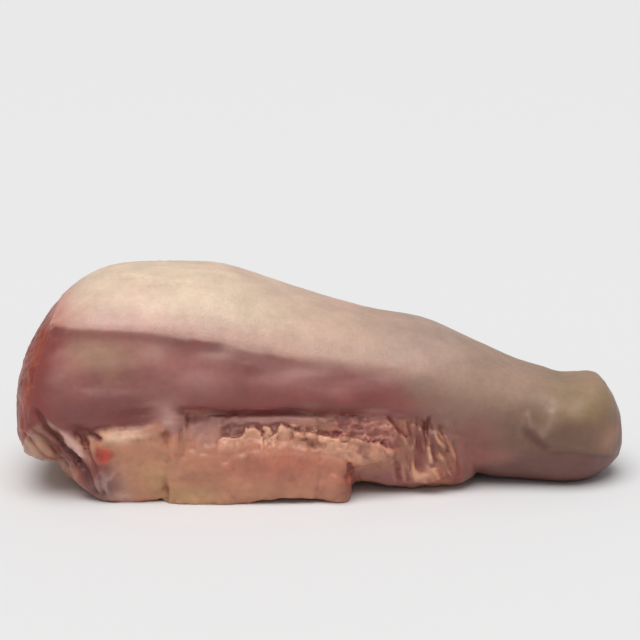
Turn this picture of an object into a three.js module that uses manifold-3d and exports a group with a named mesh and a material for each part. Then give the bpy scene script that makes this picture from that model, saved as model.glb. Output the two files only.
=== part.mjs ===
// A raw beef tongue, trimmed at the root and lying on its underside.
// X runs from the cut root (-X) to the free tip (+X), Z is up, and the table it lies on is Z = 0.
// Every size is in millimetres.
import * as THREE from "three";
import { mergeVertices } from "three/addons/utils/BufferGeometryUtils.js";
import Module from "manifold-3d";

const wasm = await Module();
wasm.setup();

// Driving dimensions.
const LENGTH = 300;
const ROOT_X = -LENGTH / 2;
const TIP_X = LENGTH / 2;
const TABLE_Z = 0;

// The muscular body: one value for each of thirteen stations, evenly spaced from root to tip.
const BODY = {
  rootX: ROOT_X,
  tipX: TIP_X,
  rings: 54,
  sides: 46,
  top: [101, 102.5, 104.5, 105, 104, 96.5, 88, 81, 76.5, 65.5, 54.5, 49.5, 50],
  bottom: [-3, 7, 25, 32, 33, 33, 32, 30, 22, 2, -2, -3, 4],
  halfWidth: [46, 49, 50, 50, 49, 46.5, 44, 41.5, 39, 36, 34, 34, 33],
  widestZ: [44, 54, 58, 59, 58, 55, 51, 48, 43, 34, 28, 25, 23],
  sway: [0, 0, 0, 0, 0, 0.5, 1.5, 2.5, 3, 3, 2.5, 1, -1],
  squareTop: 2.6, // the dorsum is flat across and turns down at a margin
  squareBottom: 2.3,
  rootEnd: { poleZ: 30, depthZ: 58, depthY: 16, square: 2.15 }, // the cut slopes back as it rises
  tipEnd: { poleZ: 15, depthZ: 16, depthY: 34, square: 1.85 }, // blunt in profile, round from above
};

// The floor tissue under the body, in five even stations: fat, glands and cut muscle.
const FLOOR = {
  rootX: -132,
  tipX: 82,
  rings: 30,
  sides: 36,
  top: [30, 46, 52, 49, 40],
  bottom: [-1, -2, -2, -2, -1],
  halfWidth: [38, 46, 46, 42, 37],
  widestZ: [14, 19, 20, 20, 18],
  sway: [0, 0, 0.5, 2, 3],
  squareTop: 3,
  squareBottom: 3.2,
  rootEnd: { poleZ: 14, depthZ: 30, depthY: 22, square: 2 },
  tipEnd: { poleZ: 12, depthZ: 18, depthY: 18, square: 2 },
};

// Loose tissue along each foot of the floor: a flap with an arched hem, and a fat lobe between
// it and the root. The two sides differ in reach.
const SKIRT_SIDE_Y = 43.5;
const SKIRT_HALF_THICKNESS = 7.5;
const flap = (side, rootX, tipX) => ({
  rootX,
  tipX,
  rings: 20,
  sides: 18,
  top: [22, 30, 31, 29, 24],
  bottom: [-2, -3, 0.5, 2, -3],
  halfWidth: Array(5).fill(SKIRT_HALF_THICKNESS),
  widestZ: [8, 10, 10, 10, 10],
  sway: [0.96, 1, 1, 0.98, 0.95].map((share) => side * SKIRT_SIDE_Y * share),
  squareTop: 2.4,
  squareBottom: 4,
  rootEnd: { poleZ: 10, depthZ: 8, depthY: 8, square: 2.2 },
  tipEnd: { poleZ: 9, depthZ: 7, depthY: 7, square: 2.4 },
});
const fatLobe = (side, rootX, tipX) => ({
  rootX,
  tipX,
  rings: 16,
  sides: 18,
  top: [26, 35, 38, 36, 30],
  bottom: [7, 0, -1.5, 0, 2],
  halfWidth: Array(5).fill(SKIRT_HALF_THICKNESS),
  widestZ: [14, 14, 14, 14, 14],
  sway: [0.88, 0.96, 0.98, 0.96, 0.92].map((share) => side * SKIRT_SIDE_Y * share),
  squareTop: 2.2,
  squareBottom: 2.6,
  rootEnd: { poleZ: 14, depthZ: 14, depthY: 12, square: 2 },
  tipEnd: { poleZ: 14, depthZ: 14, depthY: 12, square: 2 },
});
const SKIRTS = [flap(-1, -78, 16), flap(1, -92, 2), fatLobe(-1, -120, -64), fatLobe(1, -134, -78)];

// A smooth line through values that are evenly spaced from 0 to 1.
function line(values) {
  const curve = new THREE.SplineCurve(values.map((value, i) => new THREE.Vector2(i, value)));
  return (share) => curve.getPoint(THREE.MathUtils.clamp(share, 0, 1)).y;
}

// The share of its full section that an end has kept, at this distance in from the end.
function rounding(distance, depth, square) {
  const left = Math.max(0, 1 - distance / depth);
  return (1 - left ** square) ** (1 / square);
}

const signedPower = (value, power) => Math.sign(value) * Math.abs(value) ** power;

// A closed form of superelliptic sections along X, made by moving the points of a sphere whose
// poles become the two ends.
function loft(form) {
  const [top, bottom, halfWidth, widestZ, sway] = [
    form.top,
    form.bottom,
    form.halfWidth,
    form.widestZ,
    form.sway,
  ].map(line);
  const geometry = new THREE.SphereGeometry(1, form.sides, form.rings);
  geometry.deleteAttribute("normal");
  geometry.deleteAttribute("uv");
  const points = geometry.getAttribute("position");
  for (let i = 0; i < points.count; i++) {
    const pole = THREE.MathUtils.clamp(points.getY(i), -1, 1);
    // Halfway between even rings and rings that gather towards the ends.
    const share = (Math.acos(pole) / Math.PI + (1 - pole) / 2) / 2;
    const x = THREE.MathUtils.lerp(form.rootX, form.tipX, share);
    const turn = Math.atan2(points.getZ(i), points.getX(i));
    const above = Math.sin(turn) > 0;
    const power = 2 / (above ? form.squareTop : form.squareBottom);
    const reach = above ? top(share) - widestZ(share) : widestZ(share) - bottom(share);
    const fullY = halfWidth(share) * signedPower(Math.cos(turn), power);
    const fullZ = widestZ(share) + reach * signedPower(Math.sin(turn), power);

    const fromRoot = x - form.rootX;
    const fromTip = form.tipX - x;
    const end = fromRoot < fromTip ? form.rootEnd : form.tipEnd;
    const distance = Math.min(fromRoot, fromTip);
    const keptY = rounding(distance, end.depthY, end.square);
    const keptZ = rounding(distance, end.depthZ, end.square);
    points.setXYZ(i, x, sway(share) + fullY * keptY, end.poleZ + (fullZ - end.poleZ) * keptZ);
  }
  return geometry;
}

// A geometry as a manifold solid, which joins and cuts.
function solid(geometry) {
  const merged = mergeVertices(geometry, 1e-3);
  return new wasm.Manifold(
    new wasm.Mesh({
      numProp: 3,
      vertProperties: merged.getAttribute("position").array,
      triVerts: new Uint32Array(merged.getIndex().array),
    }),
  );
}

// Everything under the table plane, which the soft underside is pressed flat against.
function underTable() {
  const depth = 40;
  const geometry = new THREE.BoxGeometry(2 * LENGTH, LENGTH, depth);
  geometry.deleteAttribute("normal");
  geometry.deleteAttribute("uv");
  geometry.translate(0, 0, TABLE_Z - depth / 2);
  return solid(geometry);
}

// A solid as a geometry whose box is centred over the origin.
function centred(manifold) {
  const mesh = manifold.getMesh();
  const geometry = new THREE.BufferGeometry();
  geometry.setAttribute("position", new THREE.BufferAttribute(new Float32Array(mesh.vertProperties), 3));
  geometry.setIndex(new THREE.BufferAttribute(new Uint32Array(mesh.triVerts), 1));
  geometry.computeBoundingBox();
  const middle = geometry.boundingBox.getCenter(new THREE.Vector3());
  geometry.translate(-middle.x, -middle.y, 0);
  geometry.computeVertexNormals();
  return geometry;
}

const flesh = [BODY, FLOOR, ...SKIRTS]
  .map((form) => solid(loft(form)))
  .reduce((joined, piece) => joined.add(piece))
  .subtract(underTable());

const moistFlesh = new THREE.MeshStandardMaterial({ color: 0xb0897a, roughness: 0.45, metalness: 0 });
const tongue = new THREE.Mesh(centred(flesh), moistFlesh);
tongue.name = "beef_tongue";

const part = new THREE.Group();
part.add(tongue);

export default part;
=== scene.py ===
"""A raw beef tongue, trimmed at the root and lying on its underside.

X runs from the cut root (-X) to the tip (+X), -Y is the near side, Z is up and the floor is at 0.
Lengths in the tables below are in millimetres; the meshes are in metres.
"""
import itertools
import math

import bmesh
import bpy
import numpy as np
from mathutils import Matrix, Vector


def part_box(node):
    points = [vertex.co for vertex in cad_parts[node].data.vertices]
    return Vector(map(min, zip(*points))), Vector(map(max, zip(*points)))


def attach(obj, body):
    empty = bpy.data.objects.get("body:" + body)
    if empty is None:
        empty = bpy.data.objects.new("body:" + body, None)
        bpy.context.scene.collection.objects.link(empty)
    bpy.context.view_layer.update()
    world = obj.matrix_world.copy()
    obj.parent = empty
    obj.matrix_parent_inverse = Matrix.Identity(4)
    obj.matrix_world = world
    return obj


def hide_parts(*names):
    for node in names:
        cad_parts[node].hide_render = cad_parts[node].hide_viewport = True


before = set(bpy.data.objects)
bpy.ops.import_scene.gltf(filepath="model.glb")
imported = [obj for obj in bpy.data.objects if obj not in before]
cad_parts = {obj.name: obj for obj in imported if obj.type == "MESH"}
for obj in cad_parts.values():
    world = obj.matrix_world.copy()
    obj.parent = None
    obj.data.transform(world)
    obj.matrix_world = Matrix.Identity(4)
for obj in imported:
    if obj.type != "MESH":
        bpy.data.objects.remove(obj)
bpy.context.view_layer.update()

MM = 0.001
TONGUE = "beef_tongue"
SKIN_GRAIN = 0.92 * MM  # the size of the faces while the surface is being shaped
MOST_TRIANGLES = 194000  # what the finished surface is thinned to
FAR_SLIDE = -4  # how far along X the trimming is moved on the far side, towards the root
LONG_WAY = 1e3  # further than any distance on the tongue

low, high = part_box(TONGUE)


# ---------------------------------------------------------------- helpers for the sculpted skin

def smooth_step(value, start, end):
    """0 before start, 1 after end, and a smooth rise between them."""
    share = np.clip((value - start) / (end - start), 0, 1)
    return share * share * (3 - 2 * share)


def window(value, start, end, soft):
    """1 between start and end, fading to 0 over the soft length outside them."""
    return smooth_step(value, start - soft, start) * (1 - smooth_step(value, end, end + soft))


def hill(value, width):
    """A smooth bump, 1 at 0 and nearly gone at twice the width."""
    return np.exp(-((value / width) ** 2))


def lumps(at, size, seed):
    """Smooth random lumps between -1 and 1, about size across."""
    cells = 32
    table = np.random.default_rng(seed).uniform(-1, 1, (cells, cells, cells))
    place = at / np.asarray(size, float)
    corner = np.floor(place).astype(int)
    inside = place - corner
    inside = inside * inside * (3 - 2 * inside)
    total = np.zeros(len(at))
    for step in itertools.product((0, 1), repeat=3):
        share = np.where(step, inside, 1 - inside).prod(axis=1)
        i, j, k = ((corner + step) % cells).T
        total += share * table[i, j, k]
    return total


def layered(at, size, seed, layers=3):
    """Lumps with smaller lumps on them."""
    total = np.zeros(len(at))
    for n in range(layers):
        total += lumps(at + 17.3 * n, np.asarray(size, float) / 2 ** n, seed + n) / 2 ** n
    return total / (2 - 2 ** (1 - layers))


def distance_to(x, z, line):
    """How far a point in the side view is from a line of (x, z) points."""
    nearest = np.full(len(x), LONG_WAY)
    for (x0, z0), (x1, z1) in zip(line[:-1], line[1:]):
        run, rise = x1 - x0, z1 - z0
        share = np.clip(((x - x0) * run + (z - z0) * rise) / (run * run + rise * rise), 0, 1)
        nearest = np.minimum(nearest, np.hypot(x - x0 - share * run, z - z0 - share * rise))
    return nearest


def along(x, line):
    """The height of a line, given as (x, z) stations, above each x."""
    stations = np.array(line, float)
    return np.interp(x, stations[:, 0], stations[:, 1])


def strands(at, size, seed, width):
    """Thin curly strands, 1 along their crests: the places where smooth lumps change sign."""
    return np.exp(-((layered(at, size, seed, 2) / width) ** 2))


def torn(at, size, reach, seed):
    """Offsets in x and z that pull points about, so that a line through them comes out torn."""
    return [reach * layered(at, size, seed + 5 * n) for n in range(2)]


# ---------------------------------------------------------------- lines on the tongue (x, z)

MARGIN = [(-150, 80), (-122, 84), (-89, 84), (-61, 81), (-36, 75), (-10, 69), (28, 62), (57, 56),
          (86, 50), (120, 44), (150, 40)]
BELLY_HEM = [(-150, 22), (-138, 34), (-130, 42), (-122, 36), (-116, 32.5), (-109, 33.5), (-104, 36.5),
             (-90, 38), (-76, 41), (-72, 34), (-66, 34), (-63, 43), (-40, 42), (0, 40.5), (30, 38),
             (52, 37), (60, 30), (66, 18), (70, 6), (74, -9), (150, -9)]
TIP_HEM = [(60, 4), (80, 12), (98, 20), (110, 22), (125, 20), (140, 15.5), (150, 12)]
SLIT = [(-70, 46.5), (-62, 45.6), (-48, 44.2), (-30, 43.9), (-12, 43.4), (12, 42)]
FRINGE = [(-58, 29), (-48, 29.5), (-45.5, 32), (-37.5, 32), (-35.5, 36), (-31, 36), (-28.5, 33),
          (-28, 30), (-27, 36.4), (-24, 36.4), (-23, 31.5), (-21, 33), (-19.5, 36), (-13, 36),
          (-11, 33), (-4, 33.5), (2, 31.5), (12, 31), (20, 29), (28, 26), (34, 24)]
LINING_HEM = [(-58, 33), (-50, 36), (-46, 38), (-30, 37.8), (-12, 37.6), (-2, 36), (8, 33.6), (34, 27)]

# Lines that wander a little: their points, how far they wander and the seed of their wander.
ROOT_CREASE = ([(-134, 46), (-130, 38), (-124, 31), (-118, 23), (-112, 16), (-107, 5)], 1.0, 41)
PALE_RIDGE = ([(-131.5, 46.5), (-127, 43.2), (-122, 38.4), (-117.5, 31.5), (-113, 24.5)], 0.8, 42)
RAW_SEAM = ([(-112.5, 32), (-109, 23), (-106, 15), (-102.5, 5)], 1.2, 49)
RED_EDGE = ([(-125, 82), (-130.5, 70), (-134.5, 57), (-133.5, 46)], 1.6, 69)
ROOT_SEAMS = [
    ([(-142, 33), (-135, 27), (-128, 20), (-121, 14)], 1.4, 43),
    ([(-138, 38), (-131, 31), (-125, 24), (-119, 17)], 1.4, 43),
]
LEDGE_CREASE = ([(-110.5, 33.5), (-105, 32)], 1.2, 44)
MEMBRANE_CREASE = ([(-97, 20), (-96, 10), (-93, 2)], 2.4, 45)
FAT_STREAK = ([(51.5, 24), (52.5, 17)], 0.7, 97)
TIP_WRINKLE = ([(100.5, 30), (103.5, 26), (108, 22.5)], 2.0, 95)

# How far the pleats and the tip's folds wander, and the seed of their wander.
PLEAT_WANDER = (0.7, 93)
FOLD_WANDER = (1.8, 96)
# Each pleat: its line, how deep it is and how wide.
PLEATS = [
    ([(32, 39), (36, 34), (40.5, 30)], 1.5, 0.7),
    ([(42, 36), (42.5, 31)], 1.1, 0.6),
    ([(46, 38.5), (46.5, 33)], 1.0, 0.6),
    ([(51.5, 38.5), (50, 31), (50.5, 25)], 1.6, 0.7),
    ([(57, 34), (59, 28), (60.5, 22)], 1.0, 0.7),
    ([(53, 25), (55, 17)], 1.2, 0.7),
    ([(64, 26), (66, 18), (66, 10)], 0.8, 0.9),
]
# Each light fold across the side of the tip: its line, how high it is and how wide.
TIP_FOLDS = [
    ([(99.5, 38), (101.5, 33.5), (106, 28.5)], 0.8, 2.0),
    ([(111, 39), (109, 34), (107, 30)], 0.65, 1.9),
    ([(96, 37), (95, 32), (96, 28)], 0.4, 1.8),
    ([(117, 50), (114, 42), (110, 34)], 0.35, 3.6),
]

# Where things start, or start and end, along the tongue (x).
FLAP_START = -74
FLAP_END = (9, 20)
FRINGE_SPAN = (-46, 32)
CRUMBLY_SPAN = (-14, 34)
CURL_SPAN = (8, 34)
PLEAT_SPAN = (37, 63)
CUT_EDGE = (-138.5, -137)


# ---------------------------------------------------------------- the lobes that the body carries

def lobe(flesh, middle, size, tilt=0.0, facets=3):
    """An ellipsoid of soft tissue, turned by tilt degrees in the side view."""
    turn = Matrix.Rotation(math.radians(tilt), 4, "Y")
    stretch = Matrix.Diagonal((*(half * MM for half in size), 1))
    place = Matrix.Translation(Vector(middle) * MM) @ turn @ stretch
    bmesh.ops.create_icosphere(flesh, subdivisions=facets, radius=1, matrix=place)


def roll(flesh, side, line):
    """A rounded fold along a line of (x, reach out from the midline, z, thickness) points."""
    points = np.array(line, float)
    points[:, 1] *= side
    for start, end in zip(points[:-1], points[1:]):
        length = np.linalg.norm((end - start)[:3])
        steps = max(2, round(length / (0.8 * min(start[3], end[3]))))
        for n in range(steps + 1):
            x, y, z, thick = start + (end - start) * n / steps
            swell = 1 + 0.18 * math.sin(1.9 * x + 0.8 * z) * math.sin(0.7 * x - 1.3 * z)
            lobe(flesh, (x, y, z), (thick * swell, thick, thick * swell), facets=2)


# middle (x, reach out from the midline, z), half sizes, tilt
LOBES = {
    "outer root lobe": ((-133, 37.5, 27), (11, 8, 6.5), 42),
    "flesh behind the crease": ((-119, 38, 27), (8, 6.5, 8), 40),
    "root of the fat": ((-108, 41, 33), (7, 4.5, 5), 0),
    "drape of the flank": ((-70.5, 43.4, 41), (7, 4.2, 8), 0),
    "fold under the drape": ((-70, 44.4, 23), (4, 4.8, 17), 4),
    "flap shoulder": ((-60, 45, 12), (12, 5.5, 11), 10),
    "flap middle": ((-26, 45.4, 15), (24, 4.8, 10), 3),
    "flap end": ((6.5, 44.5, 9.5), (8.5, 6.6, 9.6), 0),
    "lobe over the flap's end": ((9, 40.6, 24), (13, 6, 7), 8),
    "tuck behind the flap": ((17, 39.6, 20.5), (7, 5.4, 5), 8),
    "lobe behind the flap": ((21, 38.6, 23), (12, 5.6, 6), 12),
    "small lobe": ((32, 36.6, 21), (8, 4.2, 5), 16),
    "foot of the pleats": ((53, 34.6, 10.5), (8, 3.8, 4.6), -12),
}
# points of x, reach out from the midline, z and thickness
ROLLS = {
    "pale ridge": [(-131, 45.4, 46, 1.6), (-127, 46, 43, 2.4), (-121.6, 45.8, 38, 3.0),
                   (-116.4, 45.8, 30, 2.8), (-112, 45.6, 23, 1.8)],
    "edge of the membrane": [(-107, 46.4, 15, 1.4), (-103, 46.8, 6, 1.8), (-99, 46.4, 2.4, 2.2)],
    "fat ledge": [(-104, 45, 32, 2.4), (-96, 46.2, 33.4, 3.4), (-85, 46.4, 34.6, 3.8),
                  (-76, 44.6, 36.4, 3.6)],
    "fat under the flank": [(-112, 42.6, 38, 3.6), (-100, 43, 40, 4), (-84, 43.4, 41, 4),
                            (-74, 43.2, 42, 4)],
}


TAGS_START = -13.0
TAGS_END = 34
TAG_THICKNESS = 2.6


def add_tags(flesh, side, random):
    """Torn tags along the hem of the lining, of many sizes and mostly sunk in it."""
    x = TAGS_START
    while x < TAGS_END:
        reach = random.uniform(1.2, 2.8)
        out = 44.3 - 0.075 * max(0, x + 26) + random.uniform(-0.5, 0.6)
        z = float(along(x, FRINGE)) + random.uniform(-3.4, 1.4)
        size = (reach, TAG_THICKNESS, random.uniform(1.2, 2.0))
        lobe(flesh, (x, side * out, z), size, random.uniform(-60, 60), facets=2)
        x += reach * random.uniform(0.6, 1.5)


def add_lobes(flesh, side):
    """Everything that the body carries on one side."""
    for (x, out, z), size, tilt in LOBES.values():
        lobe(flesh, (x, side * out, z), size, tilt)
    for line in ROLLS.values():
        roll(flesh, side, line)


def build_flesh():
    """The solid body, loose shapes of its side tissue still lying through one another."""
    flesh = bmesh.new()
    flesh.from_mesh(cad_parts[TONGUE].data)
    bmesh.ops.remove_doubles(flesh, verts=flesh.verts, dist=0.01 * MM)
    for side, slide, seed in ((-1, 0, 4), (1, FAR_SLIDE, 9)):
        part = bmesh.new()
        add_lobes(part, side)
        add_tags(part, side, np.random.default_rng(seed))
        bmesh.ops.translate(part, verts=part.verts, vec=(slide * MM, 0, 0))
        grown = bpy.data.meshes.new("grown")
        part.to_mesh(grown)
        part.free()
        flesh.from_mesh(grown)
        bpy.data.meshes.remove(grown)
    return flesh


def new_object(name, mesh):
    piece = bpy.data.objects.new(name, mesh)
    bpy.context.scene.collection.objects.link(piece)
    return piece


def finished(holder):
    """The mesh that the object's modifiers make of it, as a mesh of its own."""
    mesh = bpy.data.meshes.new_from_object(holder.evaluated_get(bpy.context.evaluated_depsgraph_get()))
    bpy.data.objects.remove(holder)
    return mesh


def settled(flesh, voxel, smoothing):
    """The lobes grown together into one skin of even faces, as a new mesh."""
    rough = bpy.data.meshes.new("rough")
    flesh.to_mesh(rough)
    flesh.free()
    holder = new_object("holder", rough)
    skin = holder.modifiers.new("skin", "REMESH")
    skin.mode = "VOXEL"
    skin.voxel_size = voxel
    settle = holder.modifiers.new("settle", "SMOOTH")
    settle.factor = 0.5
    settle.iterations = smoothing
    return finished(holder)


def thinned(mesh):
    """The same skin with fewer faces, taken from where it is smooth."""
    triangles = sum(len(face.vertices) - 2 for face in mesh.polygons)
    holder = new_object("holder", mesh)
    thin = holder.modifiers.new("thin", "DECIMATE")
    thin.ratio = min(1, MOST_TRIANGLES / triangles)
    return finished(holder)


def drop_crumbs(mesh):
    """Takes out any scrap that isn't joined to the tongue."""
    flesh = bmesh.new()
    flesh.from_mesh(mesh)
    flesh.verts.ensure_lookup_table()
    joined = {flesh.verts[0]}
    edge = [flesh.verts[0]]
    while edge:
        grown = []
        for vert in edge:
            for link in vert.link_edges:
                other = link.other_vert(vert)
                if other not in joined:
                    joined.add(other)
                    grown.append(other)
        edge = grown
    crumbs = [vert for vert in flesh.verts if vert not in joined]
    if len(crumbs) > len(joined):
        crumbs = list(joined)
    bmesh.ops.delete(flesh, geom=crumbs, context="VERTS")
    flesh.to_mesh(mesh)
    flesh.free()


# ---------------------------------------------------------------- the skin, point by point

class Skin:
    """The points of the skin in millimetres, before they are moved."""

    def __init__(self, mesh):
        places = np.empty(len(mesh.vertices) * 3, np.float32)
        mesh.vertices.foreach_get("co", places)
        normals = np.empty(len(mesh.vertices) * 3, np.float32)
        mesh.vertex_normals.foreach_get("vector", normals)
        edges = np.empty(len(mesh.edges) * 2, np.int32)
        mesh.edges.foreach_get("vertices", edges)
        self.at = places.reshape(-1, 3).astype(float) / MM
        self.out = normals.reshape(-1, 3).astype(float)
        self.edges = edges.reshape(-1, 2)
        self.x, self.y, self.z = self.at.T
        # Along the trimming, which lies nearer the root on the far side.
        self.u = self.x - FAR_SLIDE * smooth_step(self.y, -10, 10)
        self.side = smooth_step(np.abs(self.out[:, 1]), 0.2, 0.6)
        self.down = self.z - along(self.x, MARGIN)
        self.cut = 1 - smooth_step(self.rim(), *CUT_EDGE)
        self.size = len(self.at)

    def rim(self):
        """Where the skin ends at the root: an uneven edge that leans with the cut."""
        return self.x - 0.24 * (self.z - 45) - 1.6 * layered(self.at, 9, 81)

    def line(self, line, wander, seed):
        """How far each point is from a line of (x, z) points that wanders a little."""
        shift = wander * lumps(self.at, 6, seed)
        return distance_to(self.u + shift, self.z, line)


def hollows(skin, places, rounds):
    """How far each point lies below the skin around it (above 0) or stands above it (below 0), in mm."""
    first, second = skin.edges.T
    count = np.bincount(first, minlength=skin.size) + np.bincount(second, minlength=skin.size)
    level = places
    for _ in range(rounds):
        total = np.stack([np.bincount(first, level[second, n], skin.size)
                          + np.bincount(second, level[first, n], skin.size) for n in range(3)], 1)
        level = 0.5 * level + 0.5 * total / count[:, None]
    return ((level - places) * skin.out).sum(1)


def flank_relief(skin):
    """A rolled edge along the margin, with a shallow trough under it."""
    keep = window(skin.x, -118, 40, 30) * skin.side
    return (1.1 * hill(skin.down - 1.5, 4) - 1.3 * hill(skin.down + 8, 7)) * keep


def slit_gap(skin):
    """How far above the slit each point lies."""
    return skin.z - along(skin.u, SLIT) - 0.8 * lumps(skin.at, 9, 3)


def slit_relief(skin):
    """The slit between the flank and the lining under it, and the lining's soft folds."""
    gap = slit_gap(skin)
    push = -2.6 * hill(gap, 1.3) * window(skin.u, -46, -14, 12)
    push -= 0.9 * hill(gap + 0.3, 2.0) * window(skin.u, -64, -44, 4)
    push += 1.2 * hill(gap - 4.2, 3.4) * window(skin.u, -66, 16, 14)
    push += 1.1 * hill(gap + 3.9, 1.9) * window(skin.u, -50, 0, 8)
    columns = layered(skin.at * (1, 0.4, 0.22), 3.4, 15, 2)
    push += 1.4 * columns * window(skin.u, -64, -40, 6) * window(skin.z, 27, 41, 3)
    return push * skin.side


# Each row of torn tags: its height above the fringe, how strong it is, how rare, and how torn.
TAG_ROWS = [
    (0, 1.0, -1.5, 2.0),
    (-3.6, 0.55, 0.0, 6.0),
]


def fringe_fields(skin):
    """How much each point lies on a torn tag of the hem, and how much in the recess above one."""
    tags = np.zeros(skin.size)
    gaps = np.zeros(skin.size)
    for n, (rise, strength, rarity, reach) in enumerate(TAG_ROWS):
        pull_x, pull_z = torn(skin.at, 2.6 + 0.6 * reach, reach, 11 + 40 * n)
        lift = skin.z + pull_z - along(skin.u + pull_x, FRINGE) - rise
        some = strength * smooth_step(lumps(skin.at, 8, 17 + n), rarity, rarity + 0.4)
        tag = (1 - smooth_step(lift, -0.4, 0.8)) * np.exp(-np.maximum(-lift, 0) / 3.4)
        tags = np.maximum(tags, some * tag)
        hem = skin.z + pull_z - along(skin.u, LINING_HEM) + rise
        gaps = np.maximum(gaps, some * smooth_step(lift, 0.2, 1.2) * (1 - smooth_step(hem, -0.8, 0.8)))
    keep = window(skin.u, *FRINGE_SPAN, 4)
    return tags * keep, gaps * (1 - tags) * keep


def crumbly_lumps(skin):
    """The small lumps of the crumbly tissue."""
    return layered(skin.at, 3.6, 64, 2)


def crumbly_share(skin):
    """How much each point lies in the crumbly tissue under the hem's tags."""
    below = skin.z - along(skin.u, FRINGE)
    return window(skin.u, *CRUMBLY_SPAN, 4) * window(below, -7, 1, 2)


def fringe_relief(skin):
    """The ragged hem of the lining, with raw tissue showing in the recesses above its tags."""
    tags, gaps = fringe_fields(skin)
    push = 1.7 * tags - 1.1 * gaps
    shreds = window(skin.u, -46, 34, 6) * window(skin.z, 22, 38, 4)
    push += 0.4 * (strands(skin.at, 4.6, 23, 0.16) - 0.35) * shreds
    push -= 0.9 * crumbly_lumps(skin) * crumbly_share(skin)
    return push * skin.side


def curl_share(skin):
    """How much each point lies among the curled shreds."""
    return window(skin.u, *CURL_SPAN, 5) * window(skin.z - along(skin.u, FRINGE), 1.5, 10, 2) * skin.side


def curls(skin):
    """The curled shreds, 1 along their crests."""
    return strands(skin.at, (3.8, 4, 3.2), 27, 0.22)


def curl_relief(skin):
    """Small curled shreds ahead of the flap."""
    return 1.0 * (curls(skin) - 0.4) * curl_share(skin)


def fat_relief(skin):
    """Soft fat and loose tissue, lumpy with creases between the lumps."""
    loose = (1 - smooth_step(skin.z, 34, 40)) * (1 - smooth_step(skin.x, 64, 76)) * (1 - skin.cut)
    push = 0.9 * (np.abs(layered(skin.at, (11, 9, 9), 21)) * 2 - 0.5) * loose
    push += 0.35 * layered(skin.at, 3.4, 25, 2) * loose
    notch = hill(skin.u - FLAP_START, 1.6) * (1 - smooth_step(skin.z, 6, 16))
    end = hill(skin.u + 3 - 0.15 * skin.z, 1.3) * (1 - smooth_step(skin.z, 12, 20))
    push -= (2.0 * notch + 0.9 * end) * skin.side
    blunt = smooth_step(skin.out[:, 0], 0.3, 0.8) * window(skin.u, *FLAP_END, 3)
    blunt = blunt * (1 - smooth_step(skin.z, 22, 26))
    return push - (2.6 * smooth_step(skin.z, 4, 15) + 1.2 * layered(skin.at, 7, 29)) * blunt


def root_lumps(skin):
    """The lumps of the flesh at the foot of the root."""
    return layered(skin.at, 5, 50, 2)


def membrane_strands(skin):
    """The strands in the grey membrane beside the raw spot, 1 along their crests."""
    return strands(skin.at, (5, 5, 9), 48, 0.2)


def root_relief(skin):
    """The folds and the deep crease at the foot of the root."""
    low_part = 1 - smooth_step(skin.z, 44, 50)
    push = -2.6 * hill(skin.line(*ROOT_CREASE), 1.6)
    push += 1.2 * hill(skin.line(*PALE_RIDGE), 1.5)
    push -= 1.3 * hill(skin.line(*RAW_SEAM), 1.3)
    push += 0.9 * root_lumps(skin) * window(skin.u, -150, -112, 4) * window(skin.z, 8, 40, 4)
    for seam in ROOT_SEAMS:
        push -= 0.9 * hill(skin.line(*seam), 0.9)
    push -= 2.4 * hill(skin.line(*LEDGE_CREASE), 1.5)
    push -= 0.7 * hill(skin.line(*MEMBRANE_CREASE), 1.8)
    push += 0.8 * (membrane_strands(skin) - 0.3) * spot(skin.u, skin.z, (-102, 10), (6, 9))
    return push * low_part * skin.side


def pleat_share(skin):
    """How much each point lies among the pleats."""
    return window(skin.u, *PLEAT_SPAN, 4) * window(skin.z, 8, 35, 4) * skin.side


def pleat_folds(skin):
    """The fine pleats: 1 along their crests and -1 in the creases between them."""
    lean = skin.u + (0.2 + 0.25 * smooth_step(skin.u, 44, 60)) * (skin.z - 30)
    streaks = np.stack([lean + 0.8 * lumps(skin.at, 5, 92), skin.y * 0.4, skin.z * 0.24], 1)
    return 1.7 * layered(streaks, 2.2, 91, 2)


def pleat_relief(skin):
    """Pleats that run down over the belly to its foot."""
    push = 1.15 * pleat_folds(skin) * pleat_share(skin)
    for line, depth, width in PLEATS:
        push -= depth * hill(skin.line(line, *PLEAT_WANDER), width) * skin.side
        beside = [(x - 1.8, z) for x, z in line]
        push += 0.4 * depth * hill(skin.line(beside, *PLEAT_WANDER), 1.0) * skin.side
    return push


def tip_relief(skin):
    """Wrinkles across the side of the tip, its waist and its flattened end."""
    push = -1.8 * hill(skin.line(*TIP_WRINKLE), 2.1) * skin.side
    for line, height, width in TIP_FOLDS:
        push += height * hill(skin.line(line, *FOLD_WANDER), width) * skin.side
    push -= 1.3 * hill(skin.x - 120, 6) * smooth_step(skin.z, 32, 50)
    push += 1.6 * hill(skin.x - 136, 6) * smooth_step(skin.z, 42, 52)
    push += 0.8 * hill(skin.z - along(skin.x, TIP_HEM) - 2, 2.4) * window(skin.x, 104, 140, 8) * skin.side
    return push


def cut_relief(skin):
    """Raw muscle at the root: bundles with creases between them."""
    push = 0.6 * (np.abs(layered(skin.at, (9, 8, 13), 31)) * 2 - 0.6)
    push += 0.35 * layered(skin.at, 3, 33, 2) - 0.5
    return push * skin.cut


BUTTONS_A_SIDE = 9


def taste_buttons(skin):
    """A row of low round buttons in little trenches on each side of the back of the dorsum."""
    random = np.random.default_rng(47)
    push = np.zeros(skin.size)
    for side in (-1, 1):
        for n in range(BUTTONS_A_SIDE):
            x = -108 + 5.4 * n + random.uniform(-1.2, 1.2)
            y = side * (12 + 1.7 * n) + random.uniform(-1.0, 1.0)
            away = np.hypot(skin.x - x, skin.y - y)
            top = skin.out[:, 2] > 0.5
            push += (0.12 * hill(away, 1.2) - 0.45 * hill(away - 2.3, 0.7)) * top
    return push


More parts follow.
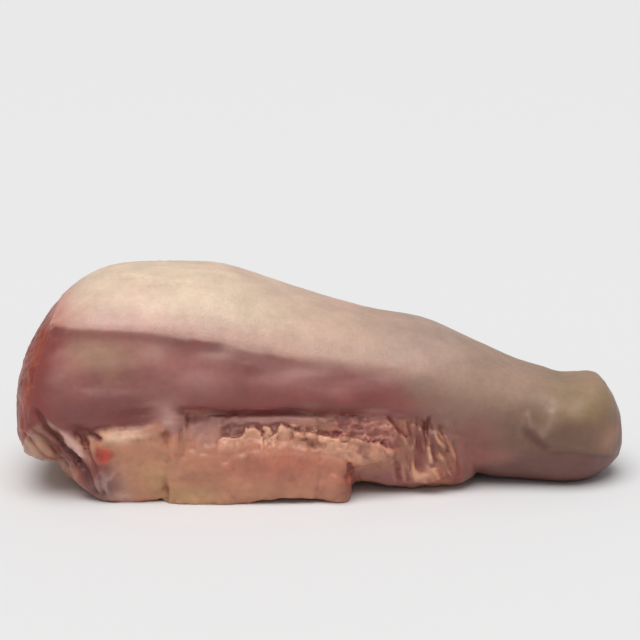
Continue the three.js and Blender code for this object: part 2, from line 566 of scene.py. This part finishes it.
def growth_relief(skin):
    """A body that grew is never quite even."""
    push = 0.7 * layered(skin.at, 38, 51, 2) * smooth_step(skin.z, 4, 20)
    return push + 0.16 * layered(skin.at, 7, 55, 2)


RELIEFS = (flank_relief, slit_relief, fringe_relief, curl_relief, fat_relief, root_relief, pleat_relief,
           tip_relief, cut_relief, taste_buttons, growth_relief)


def sculpted(skin):
    """Where each point of the skin goes, moved in or out along its normal."""
    push = sum(relief(skin) for relief in RELIEFS)
    push[skin.z < 0.4] = 0
    places = skin.at + skin.out * push[:, None]
    behind_flap = smooth_step(skin.u, 13, 17) * (1 - smooth_step(skin.u, 18, 40))
    places[:, 2] += 4 * behind_flap * (1 - smooth_step(skin.z, 6, 18)) * smooth_step(np.abs(skin.y), 14, 28)
    places[:, 2] = np.maximum(places[:, 2], 0)
    places[:, 0] = np.clip(places[:, 0], low.x / MM - 1, high.x / MM + 1)
    return places


# ---------------------------------------------------------------- colours

def paint(red, green, blue):
    """A colour mixed on the 0 to 255 scale, as light."""
    values = np.array((red, green, blue), float) / 255
    return np.where(values <= 0.04045, values / 12.92, ((values + 0.055) / 1.055) ** 2.4)


CREAM = paint(230, 204, 178)
ROSE_CREAM = paint(208, 164, 150)
TAN_ROSE = paint(198, 162, 144)
PALE_GREY_ROSE = paint(186, 158, 144)
TAN_GREY = paint(156, 126, 107)
MAUVE = paint(160, 102, 94)
DEEP_MAUVE = paint(136, 74, 70)
RED_MAUVE = paint(134, 56, 50)
LILAC = paint(194, 140, 134)
PALE_PATCH = paint(212, 168, 154)
OLIVE_TAN = paint(176, 138, 112)
BROWN_GREY = paint(116, 82, 66)
TIP_OLIVE = paint(142, 118, 80)
# Painted shade for the underside of the tip.
SHADED_MAUVE = paint(116, 74, 66)
# Cream fat with a painted highlight, for the upward face of the fat ledge.
LEDGE_CREAM_HIGHLIGHT = paint(255, 208, 178)
FAT_CREAM = paint(236, 178, 148)
FAT_TAN = paint(192, 136, 104)
SALMON = paint(186, 120, 96)
TERRACOTTA = paint(178, 98, 80)
YELLOW_FAT = paint(188, 150, 104)
CUT_ORANGE = paint(150, 60, 36)
CUT_RED = paint(118, 40, 34)
CUT_PINK = paint(210, 140, 122)
RIM_RED = paint(150, 70, 58)
# Painted shade for the recesses of the loose tissue.
RECESS_SHADE = paint(146, 92, 78)
# Pale gristle with a painted highlight, for the strands on the grey membrane.
GRISTLE_HIGHLIGHT = paint(176, 146, 140)
MEMBRANE = paint(128, 88, 84)
BLOOD = paint(206, 74, 56)
# Raw red: raw tissue, and also painted shade in hollows and creases.
RAW_RED_AND_SHADE = paint(128, 54, 48)
SHADE = paint(92, 42, 38)
# Painted shade, dark red, for the slit under the flank.
SLIT_SHADE_RED = paint(136, 42, 44)
PLEAT_BROWN = paint(128, 76, 66)
# Golden fat with a painted highlight, for the crests of the pleats.
PLEAT_GOLD_HIGHLIGHT = paint(222, 168, 124)
BELLY_MAUVE = paint(144, 86, 84)


def blend(tint, colour, share):
    """The tint with a share of another colour laid over it."""
    share = np.clip(share, 0, 1)[:, None]
    return tint * (1 - share) + colour * share


def spot(x, z, middle, reach, tilt=0.0):
    """A soft round or oval patch in the side view, 1 in its middle."""
    turn = math.radians(tilt)
    dx, dz = x - middle[0], z - middle[1]
    u = (dx * math.cos(turn) + dz * math.sin(turn)) / reach[0]
    v = (dz * math.cos(turn) - dx * math.sin(turn)) / reach[1]
    return np.exp(-(u * u + v * v))


# colour, middle (x, z), reach (x, z), tilt, strength
FLANK_STAINS = [
    (OLIVE_TAN, (-104, 74), (17, 8), 0, 0.85),
    (DEEP_MAUVE, (-98, 60), (20, 6), 0, 0.6),
    (DEEP_MAUVE, (-98, 49), (24, 6), 0, 0.6),
    (PALE_PATCH, (-78, 75), (6, 5), 0, 0.4),
    (PALE_PATCH, (-46, 74), (9, 3.4), 8, 1.0),
    (DEEP_MAUVE, (-31, 64), (8, 9), 0, 0.85),
    (LILAC, (-57, 62), (9, 5), 0, 0.45),
    (LILAC, (-9, 62), (18, 4.2), 6, 0.85),
    (LILAC, (22, 57), (24, 4), 8, 0.65),
    (DEEP_MAUVE, (-34, 55), (10, 6), 0, 0.6),
    (RED_MAUVE, (-16, 50), (28, 5), 0, 0.45),
    (RED_MAUVE, (26, 50), (16, 5), 0, 0.5),
    (DEEP_MAUVE, (10, 43), (40, 5), 4, 0.6),
    (CUT_PINK, (-127, 90), (8, 5), 0, 0.8),
    # Painted highlight on the bulge of the drape.
    (PALE_PATCH, (-71.5, 42.5), (8, 7), 0, 1.0),
    (TAN_GREY, (48, 52), (9, 12), 0, 0.6),
    (RED_MAUVE, (-44, 48), (24, 4), 0, 0.5),
    # Painted shade under the drape.
    (DEEP_MAUVE, (-67, 34), (3.4, 5), 0, 0.7),
]
TIP_STAINS = [
    (MAUVE, (72, 26), (14, 14), 0, 0.7),
    (DEEP_MAUVE, (74, 22), (12, 13), 0, 0.6),
    (RED_MAUVE, (76, 12), (13, 8), 0, 0.65),
    (MAUVE, (92, 14), (16, 6), 0, 0.6),
    (TAN_GREY, (92, 54), (24, 9), 14, 0.8),
    (BROWN_GREY, (96, 32), (14, 10), 0, 0.6),
    (BROWN_GREY, (114, 33), (12, 8), 0, 0.45),
    (TIP_OLIVE, (127, 45), (20, 13), -10, 1.0),
    (TIP_OLIVE, (110, 38), (9, 8), 0, 0.2),
    (BROWN_GREY, (122, 29), (14, 7), -8, 0.85),
    (MAUVE, (84, 15), (16, 6), 0, 0.5),
]
NEAR_TIP_STAINS = [
    (RIM_RED, (143, 29), (3, 3), 0, 0.45),
    (FAT_TAN, (140, 23), (5, 6), -10, 0.5),
]
LOOSE_STAINS = [
    (LILAC, (-30, 39.4), (34, 2.6), 0, 0.9),
    # The ledge's top: cream fat with a painted highlight.
    (LEDGE_CREAM_HIGHLIGHT, (-93, 33.8), (13, 3.2), 2, 1.0),
    (FAT_TAN, (-86, 16), (18, 14), 0, 0.6),
    (YELLOW_FAT, (-78, 12), (8, 9), 0, 0.5),
    (YELLOW_FAT, (-62, 4), (15, 5), 0, 0.8),
    (LILAC, (-56, 36), (9, 7), 0, 0.75),
    (TERRACOTTA, (-18, 20), (26, 8), 0, 0.7),
    (FAT_TAN, (-34, 8), (22, 4), 0, 0.5),
    (CUT_PINK, (-68, 18), (3, 12), 4, 0.35),
    (DEEP_MAUVE, (-105, 14), (5, 10), -24, 0.6),
    (OLIVE_TAN, (-112, 27), (4, 5), 0, 0.6),
    (OLIVE_TAN, (-134, 28), (9, 10), -20, 0.8),
    (PALE_PATCH, (-137, 36), (2.6, 8), 8, 0.6),
    (SALMON, (4, 9), (8, 7), 0, 0.5),
    (FAT_CREAM, (13, 25), (15, 4.6), -14, 0.5),
    (BELLY_MAUVE, (32, 8), (17, 8), 0, 0.95),
    (PLEAT_BROWN, (50, 27), (15, 16), 0, 1.0),
    (RIM_RED, (13, 8), (3.6, 10), 6, 0.8),
    # Painted shadow in the crease where the belly meets the floor.
    (RED_MAUVE, (66, 9), (6, 8), 0, 0.9),
]


def flank_tint(skin, warp):
    """Mauve and brown mucous skin, greyer towards the tip, with painted shade and painted highlights."""
    x, y, z = warp.T
    tint = np.tile(MAUVE, (skin.size, 1))
    # Painted shade: the flank darker towards its foot.
    tint = blend(tint, DEEP_MAUVE, 1 - smooth_step(z, 44, 60))
    tip = smooth_step(x + 0.4 * (z - 40), 40, 70)
    tint = blend(tint, TAN_GREY, tip)
    # Painted shade: the tip darker brown-grey towards its foot.
    tint = blend(tint, BROWN_GREY, 0.85 * tip * (1 - smooth_step(z, 22, 56)))
    for colour, middle, reach, tilt, strength in FLANK_STAINS + TIP_STAINS:
        tint = blend(tint, colour, strength * spot(x, z, middle, reach, tilt))
    patches = layered(skin.at, 20, 71, 4)
    tint = blend(tint, OLIVE_TAN, 0.3 * smooth_step(patches, 0.1, 0.6))
    tint = blend(tint, RED_MAUVE, 0.35 * smooth_step(-patches, 0.1, 0.6) * (1 - tip))
    near = smooth_step(-y, 8, 24)
    for colour, middle, reach, tilt, strength in NEAR_TIP_STAINS:
        tint = blend(tint, colour, strength * spot(x, z, middle, reach, tilt) * near)
    streaks = layered(skin.at, (26, 12, 7), 75, 3)
    tint = blend(tint, LILAC, 0.4 * smooth_step(streaks, 0.05, 0.6) * (1 - tip))
    tint = blend(tint, DEEP_MAUVE, 0.5 * smooth_step(-streaks, 0.05, 0.6) * (1 - tip))
    tint = blend(tint, RED_MAUVE, 0.9 * hill(skin.line(*RED_EDGE), 6.5))
    # Painted shade under the hem of the tip.
    soft = 1.6 + 4 * (1 - smooth_step(x, 90, 125))
    under = 1 - smooth_step(z - along(x, TIP_HEM), -soft, soft)
    tint = blend(tint, SHADED_MAUVE, under * smooth_step(x, 66, 82))
    hem = z - along(x, TIP_HEM) + 0.8
    tint = blend(tint, SHADE, 0.45 * hill(hem, 1.3) * window(x, 114, 138, 8) * skin.side)
    tint = blend(tint, SHADE, 0.45 * hill(skin.line(*TIP_WRINKLE), 2.0) * skin.side)
    # Painted highlights along the raised folds of the tip.
    for line, height, width in TIP_FOLDS:
        tint = blend(tint, TAN_ROSE, 0.3 * height * hill(skin.line(line, *FOLD_WANDER), width))
    # Painted shade under the rolled edge of the margin.
    tint = blend(tint, DEEP_MAUVE, 0.5 * hill(skin.down + 2.4, 2) * window(skin.x, -120, -50, 26))
    return tint


def dorsum_tint(skin, warp):
    """Cream on top, rosy along the margin and greyer towards the tip."""
    x, _, z = warp.T
    down = z - along(x, MARGIN)
    cream = blend(np.tile(ROSE_CREAM, (skin.size, 1)), CREAM, smooth_step(down, 1, 18))
    cream = blend(cream, TAN_ROSE, 0.75 * smooth_step(x, -50, 20))
    cream = blend(cream, TAN_GREY, 0.75 * smooth_step(x, 0, 80))
    cream = blend(cream, PALE_GREY_ROSE, 0.6 * spot(x, z, (54, 72), (26, 14)))
    cream = blend(cream, CUT_PINK, 0.75 * spot(x, z, (-128, 88), (9, 8)))
    clouds = layered(skin.at, 26, 73, 3)
    return blend(cream, ROSE_CREAM, 0.35 * smooth_step(clouds, 0.0, 0.6))


def root_tint(skin, flesh):
    """The folds at the foot of the root, the raw spot and the grey membrane beside it."""
    flesh = blend(flesh, OLIVE_TAN, 0.5 * window(skin.u, -150, -122, 6))
    raised = smooth_step(root_lumps(skin), 0, 0.4)
    flesh = blend(flesh, MAUVE, 0.6 * raised * window(skin.u, -150, -114, 4))
    crease = skin.line(*ROOT_CREASE)
    lower = 1 - smooth_step(skin.z, 24, 36)
    # Painted shade in and around the deep crease, darkest in its core.
    flesh = blend(flesh, DEEP_MAUVE, 0.75 * hill(crease, 6) * window(skin.z, 10, 40, 6))
    flesh = blend(flesh, RAW_RED_AND_SHADE, (0.3 + 0.5 * lower) * hill(crease, 4.2))
    flesh = blend(flesh, SHADE, 0.9 * hill(crease, 1.5 + 1.1 * lower))
    flesh = blend(flesh, RAW_RED_AND_SHADE, 0.75 * hill(skin.line(*RAW_SEAM), 1.6))
    flesh = blend(flesh, PALE_PATCH, 0.95 * hill(skin.line(*PALE_RIDGE), 2.6))
    crumbs = smooth_step(layered(skin.at, 2.6, 57, 2), 0.1, 0.4)
    flesh = blend(flesh, FAT_CREAM, 0.5 * crumbs * spot(skin.u, skin.z, (-112, 29), (4, 4.5), 30))
    # Painted shade along the creases of the seams.
    for seam in ROOT_SEAMS:
        flesh = blend(flesh, RAW_RED_AND_SHADE, 0.5 * hill(skin.line(*seam), 1.2))
    flesh = blend(flesh, SHADE, 0.9 * hill(skin.line(*LEDGE_CREASE), 1.7))
    flesh = blend(flesh, FAT_CREAM, 0.6 * spot(skin.u, skin.z, (-110.5, 29.4), (2.6, 1.6)))
    film = spot(skin.u, skin.z, (-101, 9), (7, 9), -12)
    flesh = blend(flesh, MEMBRANE, 0.9 * film)
    # Pale strands on the membrane: partly gristle, partly a painted highlight.
    flesh = blend(flesh, GRISTLE_HIGHLIGHT, 0.65 * film * membrane_strands(skin))
    flesh = blend(flesh, PALE_PATCH, 0.7 * spot(skin.u, skin.z, (-93.5, 3), (4, 3.4)))
    flesh = blend(flesh, RAW_RED_AND_SHADE, 0.8 * spot(skin.u, skin.z, (-103.5, 18.4), (4, 2.6)))
    edge = 0.5 * layered(skin.at, 4.4, 61)
    blood = smooth_step(spot(skin.u, skin.z, (-103.4, 24.4), (4.8, 4.6)) + edge, 0.3, 0.7)
    bright = np.clip(0.6 + 0.8 * layered(skin.at, 2.6, 63), 0, 1)[:, None]
    return blend(flesh, BLOOD * bright + RAW_RED_AND_SHADE * (1 - bright), 0.95 * blood)


def loose_tint(skin, warp):
    """Fat, torn lining and raw tissue under the flank, with painted shade and painted highlights."""
    x, _, z = warp.T
    u = x - skin.x + skin.u
    flesh = blend(np.tile(SALMON, (skin.size, 1)), FAT_TAN, 0.45 + 0.6 * layered(skin.at, 14, 77, 4))
    for colour, middle, reach, tilt, strength in LOOSE_STAINS:
        flesh = blend(flesh, colour, strength * spot(u, z, middle, reach, tilt))
    flesh = blend(flesh, RAW_RED_AND_SHADE, 0.35 * smooth_step(layered(skin.at, 6, 79, 3), 0.25, 0.7))
    flesh = root_tint(skin, flesh)

    tags, gaps = fringe_fields(skin)
    crumbs = crumbly_lumps(skin)
    # Painted shade in the hollows between the crumbly lumps and in the recesses above the tags.
    flesh = blend(flesh, RECESS_SHADE, 0.7 * crumbly_share(skin) * smooth_step(crumbs, 0.1, 0.4))
    flesh = blend(flesh, RECESS_SHADE, 0.85 * gaps)
    patchy = 0.5 + 0.5 * smooth_step(-crumbs, -0.1, 0.3)
    cream = 0.9 - 0.3 * smooth_step(skin.u, -4, 16)
    flesh = blend(flesh, FAT_CREAM, tags * cream * np.where(skin.u > CRUMBLY_SPAN[0], patchy, 1))
    curled = curl_share(skin)
    flesh = blend(flesh, DEEP_MAUVE, 0.65 * curled)
    flesh = blend(flesh, CUT_PINK, 0.45 * curled * curls(skin))

    pleats = pleat_share(skin)
    folds = pleat_folds(skin)
    # Gold on the pleats' crests: their fat with a painted highlight. Raw red in their creases: painted
    # shade.
    golden = (1 - 0.6 * smooth_step(skin.z, 22, 34)) * window(skin.u, 46, 58, 6)
    flesh = blend(flesh, PLEAT_GOLD_HIGHLIGHT, (0.3 + 0.4 * golden) * pleats * smooth_step(folds, 0.1, 0.8))
    flesh = blend(flesh, RAW_RED_AND_SHADE, 0.5 * pleats * smooth_step(-folds, 0.1, 0.7))
    for line, depth, _ in PLEATS:
        flesh = blend(flesh, RAW_RED_AND_SHADE, 0.5 * depth * hill(skin.line(line, *PLEAT_WANDER), 0.9))
    flesh = blend(flesh, FAT_CREAM, 0.8 * hill(skin.line(*FAT_STREAK), 0.9))
    flesh = blend(flesh, FAT_CREAM, 0.6 * spot(skin.u, skin.z, (49, 10.5), (4.5, 3.5)))
    return blend(flesh, TERRACOTTA, 0.6 * spot(skin.u, skin.z, (57, 9), (4, 3.4)))


def cut_tint(skin):
    """Raw muscle crossed by pale seams, browner at the rim, paler to the top and fatty at the foot."""
    inner = smooth_step(skin.rim(), -140, -146)
    depth = smooth_step(layered(skin.at * (1, 1, 0.6), 9, 83, 4), -0.5, 0.6)
    meat = blend(np.tile(CUT_ORANGE, (skin.size, 1)), CUT_RED, (0.35 + 0.65 * depth) * (0.4 + 0.6 * inner))
    seams = strands(skin.at * (1, 1, 0.7), 15, 85, 0.08) + 0.6 * strands(skin.at, 9, 89, 0.08)
    some = smooth_step(layered(skin.at, 16, 87, 2), -0.2, 0.3)
    meat = blend(meat, CUT_PINK, 0.5 * seams * some * (0.25 + 0.75 * inner))
    meat = blend(meat, ROSE_CREAM, 0.75 * smooth_step(skin.z, 78, 93))
    return blend(meat, FAT_TAN, 0.75 * (1 - smooth_step(skin.z, 14, 30)))


def painted(skin, places):
    """The colour of every point, and how much each is dorsum, raw cut and loose tissue."""
    warp = skin.at + 2.4 * np.stack([layered(skin.at, 16, 60 + n, 4) for n in range(3)], 1)
    tint = flank_tint(skin, warp)
    soft = 1.0 + 8 * smooth_step(skin.x, -30, 60)
    top = smooth_step(warp[:, 2] - along(warp[:, 0], MARGIN), -soft, soft)
    tint = blend(tint, dorsum_tint(skin, warp), top * (1 - 0.6 * smooth_step(skin.x, 90, 120)))
    loose = 1 - smooth_step(warp[:, 2] - along(skin.u, BELLY_HEM), -1.5, 1.5)
    tint = blend(tint, loose_tint(skin, warp), loose)
    # Painted shade in the slit: dark mauve, reaching higher under the flank's lip, and dark red inside.
    gap = slit_gap(skin)
    over = np.where(gap > 0, 3.0, 1.2)
    tint = blend(tint, DEEP_MAUVE, 0.7 * hill(gap, over) * window(skin.u, -66, -2, 8) * skin.side)
    tint = blend(tint, SLIT_SHADE_RED, 0.95 * hill(gap, 1.7) * window(skin.u, -46, -16, 9) * skin.side)
    bits = layered(skin.at, 3.4, 58, 2)
    tint = blend(tint, CUT_PINK, 0.8 * smooth_step(bits, 0, 0.3) * spot(skin.x, skin.z, (-127, 86), (7, 5)))
    tint = blend(tint, RAW_RED_AND_SHADE, 0.7 * smooth_step(-bits, 0.1, 0.4) * spot(skin.x, skin.z, (-129, 84), (5, 3)))
    tint = blend(tint, cut_tint(skin), skin.cut)

    # Painted shade: hollows darker and redder; painted highlight: ridges paler; mostly in the loose tissue.
    fine = hollows(skin, places, 5)
    broad = hollows(skin, places, 30)
    deep = smooth_step(fine, 0.05, 0.45) + 0.6 * smooth_step(broad, 0.3, 1.6)
    ridge_highlight = smooth_step(-fine, 0.05, 0.4)
    soft_parts = np.maximum(loose, skin.cut)
    tint = blend(tint, RAW_RED_AND_SHADE, 0.42 * deep * (0.25 + 0.75 * soft_parts) * skin.side)
    tint = blend(tint, np.minimum(tint * 1.3, 0.9), 0.5 * ridge_highlight * np.maximum(loose, 0.3 * skin.cut))
    patchy = 1 + 0.12 * layered(skin.at, 13, 66, 3) + 0.1 * layered(skin.at, 5, 67, 2) * soft_parts
    tint = tint * patchy[:, None]
    meat = skin.cut * (0.2 + 0.8 * smooth_step(-skin.rim(), 139, 144))
    return tint, np.stack([top * (1 - skin.cut), meat, loose * (1 - skin.cut)], 1)


def store_colour(mesh, name, values):
    """Keeps a colour for each point of the mesh, for the material to read."""
    layer = mesh.attributes.new(name, "FLOAT_COLOR", "POINT")
    rgba = np.concatenate([values, np.ones((len(values), 1))], 1)
    layer.data.foreach_set("color", rgba.astype(np.float32).ravel())


# ---------------------------------------------------------------- material

# How fine each pattern is: the higher, the finer.
BUNDLE_SCALE = 230
MOTTLE_SCALE = 90
FLECK_SCALE = 420
PORE_SCALE = 500
PAPILLA_SCALE = 900
# How far the edges of the bundles are pulled about, and how deep the finest relief looks, in metres.
BUNDLE_SWAY = 0.006
BUMP_DEPTH = 0.0006


class Shading:
    """The nodes of the flesh, with the three kinds of skin that the zones tell apart."""

    def __init__(self, material):
        material.use_nodes = True
        self.tree = material.node_tree
        self.tree.nodes.clear()
        self.link = self.tree.links.new
        self.place = self.add("ShaderNodeTexCoord").outputs["Object"]
        zones = self.add("ShaderNodeAttribute", attribute_name="zones")
        parts = self.add("ShaderNodeSeparateColor")
        self.link(zones.outputs["Color"], parts.inputs["Color"])
        self.dorsum = parts.outputs["Red"]
        self.cut = parts.outputs["Green"]
        self.loose = parts.outputs["Blue"]

    def add(self, kind, **settings):
        node = self.tree.nodes.new(kind)
        for name, value in settings.items():
            setattr(node, name, value)
        return node

    def noise(self, scale, detail, output="Fac"):
        node = self.add("ShaderNodeTexNoise")
        node.inputs["Scale"].default_value = scale
        node.inputs["Detail"].default_value = detail
        node.inputs["Roughness"].default_value = 0.55
        self.link(self.place, node.inputs["Vector"])
        return node.outputs[output]

    def cells(self, scale, place, **settings):
        node = self.add("ShaderNodeTexVoronoi", **settings)
        node.inputs["Scale"].default_value = scale
        self.link(place, node.inputs["Vector"])
        return node.outputs["Distance"]

    def ramp(self, value, low, high, out_low, out_high):
        node = self.add("ShaderNodeMapRange")
        ends = (("From Min", low), ("From Max", high), ("To Min", out_low), ("To Max", out_high))
        for name, number in ends:
            node.inputs[name].default_value = number
        self.link(value, node.inputs["Value"])
        return node.outputs["Result"]

    def maths(self, operation, a, b):
        node = self.add("ShaderNodeMath", operation=operation)
        for socket, value in zip(node.inputs, (a, b)):
            if isinstance(value, (int, float)):
                socket.default_value = value
            else:
                self.link(value, socket)
        return node.outputs[0]


def muscle_bundles(shading):
    """How far each point of the cut is from the edge of its bundle of muscle fibre."""
    sway = shading.add("ShaderNodeVectorMath", operation="SCALE")
    shading.link(shading.noise(150, 2, "Color"), sway.inputs[0])
    sway.inputs["Scale"].default_value = BUNDLE_SWAY
    swayed = shading.add("ShaderNodeVectorMath", operation="ADD")
    shading.link(shading.place, swayed.inputs[0])
    shading.link(sway.outputs[0], swayed.inputs[1])
    return shading.cells(BUNDLE_SCALE, swayed.outputs[0], feature="DISTANCE_TO_EDGE")


def flesh_colour(shading, bundles):
    """The painted colour, finely mottled, with thin pale tissue between the bundles of the cut."""
    tint = shading.add("ShaderNodeAttribute", attribute_name="tint")
    mottle = shading.ramp(shading.noise(MOTTLE_SCALE, 5), 0.3, 0.7, 0.9, 1.08)
    fleck = shading.ramp(shading.noise(FLECK_SCALE, 3), 0.3, 0.7, 0.95, 1.04)
    mottled = shading.add("ShaderNodeVectorMath", operation="SCALE")
    shading.link(tint.outputs["Color"], mottled.inputs[0])
    shading.link(shading.maths("MULTIPLY", mottle, fleck), mottled.inputs["Scale"])
    patchy = shading.ramp(shading.noise(60, 3), 0.4, 0.65, 0.05, 0.4)
    some = shading.maths("MULTIPLY", patchy, shading.cut)
    between = shading.maths("MULTIPLY", shading.ramp(bundles, 0.0, 0.12, 1.0, 0.0), some)
    marbled = shading.add("ShaderNodeMix", data_type="RGBA")
    shading.link(between, marbled.inputs[0])
    shading.link(mottled.outputs[0], marbled.inputs[6])
    marbled.inputs[7].default_value = (*CUT_PINK, 1)
    return marbled.outputs[2]


def flesh_bump(shading, bundles):
    """Papillae on the dorsum, pores everywhere and bundles that stand up a little on the cut."""
    papillae = shading.cells(PAPILLA_SCALE, shading.place)
    grain = shading.maths("MULTIPLY", papillae, shading.ramp(shading.dorsum, 0, 1, 0.1, 0.7))
    pores = shading.maths("MULTIPLY", shading.noise(PORE_SCALE, 4), 0.6)
    raised = shading.maths("MULTIPLY", shading.ramp(bundles, 0.0, 0.2, 0.0, 0.6), shading.cut)
    height = shading.maths("ADD", shading.maths("ADD", grain, pores), raised)
    bump = shading.add("ShaderNodeBump")
    bump.inputs["Strength"].default_value = 0.35
    bump.inputs["Distance"].default_value = BUMP_DEPTH
    shading.link(height, bump.inputs["Height"])
    return bump.outputs["Normal"]


def flesh_roughness(shading):
    """Patchily moist, and wetter on the loose tissue."""
    patchy = shading.ramp(shading.noise(120, 3), 0.3, 0.7, 0.4, 0.64)
    return shading.maths("SUBTRACT", patchy, shading.maths("MULTIPLY", shading.loose, 0.1))


def flesh_material():
    material = bpy.data.materials.new("moist_flesh")
    shading = Shading(material)
    shader = shading.add("ShaderNodeBsdfPrincipled")
    output = shading.add("ShaderNodeOutputMaterial")
    shading.link(shader.outputs["BSDF"], output.inputs["Surface"])
    bundles = muscle_bundles(shading)
    shading.link(flesh_colour(shading, bundles), shader.inputs["Base Color"])
    shading.link(flesh_bump(shading, bundles), shader.inputs["Normal"])
    shading.link(flesh_roughness(shading), shader.inputs["Roughness"])
    shader.inputs["Subsurface Weight"].default_value = 0.15
    shader.inputs["Subsurface Radius"].default_value = (1.0, 0.4, 0.25)
    shader.inputs["Subsurface Scale"].default_value = 0.003
    shader.inputs["Coat Weight"].default_value = 0.15
    shader.inputs["Coat Roughness"].default_value = 0.3
    return material


# ---------------------------------------------------------------- the tongue

def make_tongue():
    mesh = settled(build_flesh(), SKIN_GRAIN, 2)
    drop_crumbs(mesh)
    skin = Skin(mesh)
    places = sculpted(skin)
    tint, zones = painted(skin, places)
    store_colour(mesh, "tint", tint)
    store_colour(mesh, "zones", zones)
    mesh.vertices.foreach_set("co", (places * MM).astype(np.float32).ravel())
    mesh.update()
    mesh = thinned(mesh)
    mesh.name = "tongue"
    for face in mesh.polygons:
        face.use_smooth = True
    mesh.materials.clear()
    mesh.materials.append(flesh_material())
    return mesh


tongue = new_object("tongue", make_tongue())
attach(tongue, "root")
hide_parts(TONGUE)


# ---------------------------------------------------------------- floor, light and camera

def plain_material(name, colour, roughness):
    material = bpy.data.materials.new(name)
    material.use_nodes = True
    shader = material.node_tree.nodes["Principled BSDF"]
    shader.inputs["Base Color"].default_value = (*colour, 1)
    shader.inputs["Roughness"].default_value = roughness
    return material


FLOOR_HALF_SIDE = 6
FLOOR_GREY = (0.82, 0.82, 0.82)


def pale_floor():
    sheet = bmesh.new()
    bmesh.ops.create_grid(sheet, x_segments=1, y_segments=1, size=FLOOR_HALF_SIDE)
    mesh = bpy.data.meshes.new("floor")
    sheet.to_mesh(mesh)
    sheet.free()
    mesh.materials.append(plain_material("pale_floor", FLOOR_GREY, 0.9))
    floor = new_object("floor", mesh)


def soft_sun(name, place, spread, strength):
    """Even light from a wide patch of sky in that direction."""
    lamp = bpy.data.lights.new(name, "SUN")
    lamp.energy = strength
    lamp.angle = math.radians(spread)
    holder = new_object(name, lamp)
    holder.rotation_euler = Vector(place).to_track_quat("Z", "Y").to_euler()


def camera():
    elevation = math.radians(14)
    distance = 0.9
    aim = Vector((-0.0005, 0.0065, 0.0763))
    lens = bpy.data.cameras.new("camera")
    lens.lens = 102.4
    lens.sensor_width = 36
    lens.clip_start = 0.05
    lens.clip_end = 50
    holder = new_object("camera", lens)
    holder.location = aim + distance * Vector((0, -math.cos(elevation), math.sin(elevation)))
    holder.rotation_euler = (aim - holder.location).to_track_quat("-Z", "Y").to_euler()
    bpy.context.scene.camera = holder


def pale_sky(strength):
    world = bpy.data.worlds.new("studio")
    bpy.context.scene.world = world
    world.use_nodes = True
    background = world.node_tree.nodes["Background"]
    background.inputs["Color"].default_value = (1, 1, 1, 1)
    background.inputs["Strength"].default_value = strength


pale_floor()
soft_sun("overhead", (-0.1, -0.3, 1), 50, 2.2)
pale_sky(0.35)
bpy.context.scene.view_settings.view_transform = "Standard"
camera()
